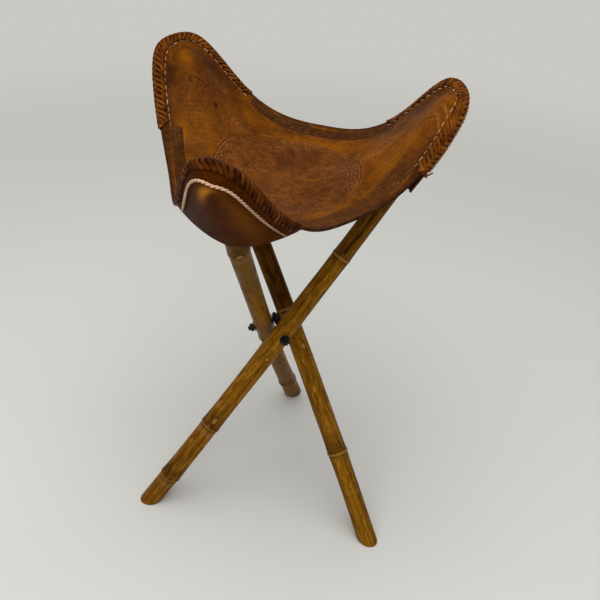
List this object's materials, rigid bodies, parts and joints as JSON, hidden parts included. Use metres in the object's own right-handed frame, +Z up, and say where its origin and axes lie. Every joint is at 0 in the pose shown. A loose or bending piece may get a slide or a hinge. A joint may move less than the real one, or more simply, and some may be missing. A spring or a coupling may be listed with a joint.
{
  "type": "folding stool",
  "caption": "Folding tripod stool: bamboo legs crossing on a hub bolt, with a tooled leather sling seat held on the leg tops by laced corner pockets.",
  "frame": {"origin": "on the floor, under the middle of the open stool's outer box", "axes": "+Z up; +X towards the corner whose leg stands in front at the crossing; +Y towards the back corner's side"},
  "size_m": [0.4234, 0.3914, 0.6305],
  "materials": {
    "bamboo": "varnished cane, worn satin",
    "tooled_leather": "tooled and dyed, semi-gloss",
    "pocket_leather": "smooth, semi-gloss",
    "lace_leather": "braided lace, dark",
    "seam_cord": "twisted cord, matt",
    "black_steel": "black"
  },
  "bodies": {
    "hub": {"long_bolt": "black_steel", "long_bolt_nut": "black_steel", "head_washer": "black_steel", "nut_washer": "black_steel", "eye_washer_back": "black_steel", "eye_washer_front": "black_steel", "eye_bolt": "black_steel", "eye_bolt_nut": "black_steel", "shank_washer": "black_steel", "seat_panel": "tooled_leather"},
    "right": {"leg_right": "bamboo", "pocket_right": "pocket_leather", "lacing_right": "lace_leather", "seam_right": "seam_cord"},
    "back": {"leg_back": "bamboo", "pocket_back": "pocket_leather", "lacing_back": "lace_leather", "seam_back": "seam_cord"},
    "front": {"leg_front": "bamboo", "pocket_front": "pocket_leather", "lacing_front": "lace_leather", "seam_front": "seam_cord"}
  },
  "joints": [
    {"name": "fold_right", "type": "hinge", "parent": "hub", "child": "right", "pos_m": [-0.00522, -0.0403, 0.29353], "axis": [0, -1, 0], "range_deg": [0, 42], "deforming": ["seat_panel", "pocket_right", "lacing_right", "seam_right"]},
    {"name": "fold_back", "type": "hinge", "parent": "hub", "child": "back", "pos_m": [0.0116, -0.00503, 0.299], "axis": [0.9511, 0, 0.3088], "range_deg": [0, 23.2], "deforming": ["pocket_back", "lacing_back", "seam_back"]},
    {"name": "fold_front", "type": "hinge", "parent": "hub", "child": "front", "pos_m": [-0.02204, -0.00503, 0.28807], "axis": [-0.9511, 0, -0.3088], "range_deg": [0, 23.2], "deforming": ["pocket_front", "lacing_front", "seam_front"]}
  ],
  "couplings": [
    {"joint": "fold_back", "follows": "fold_right", "ratio": 0.552},
    {"joint": "fold_front", "follows": "fold_right", "ratio": 0.552}
  ]
}
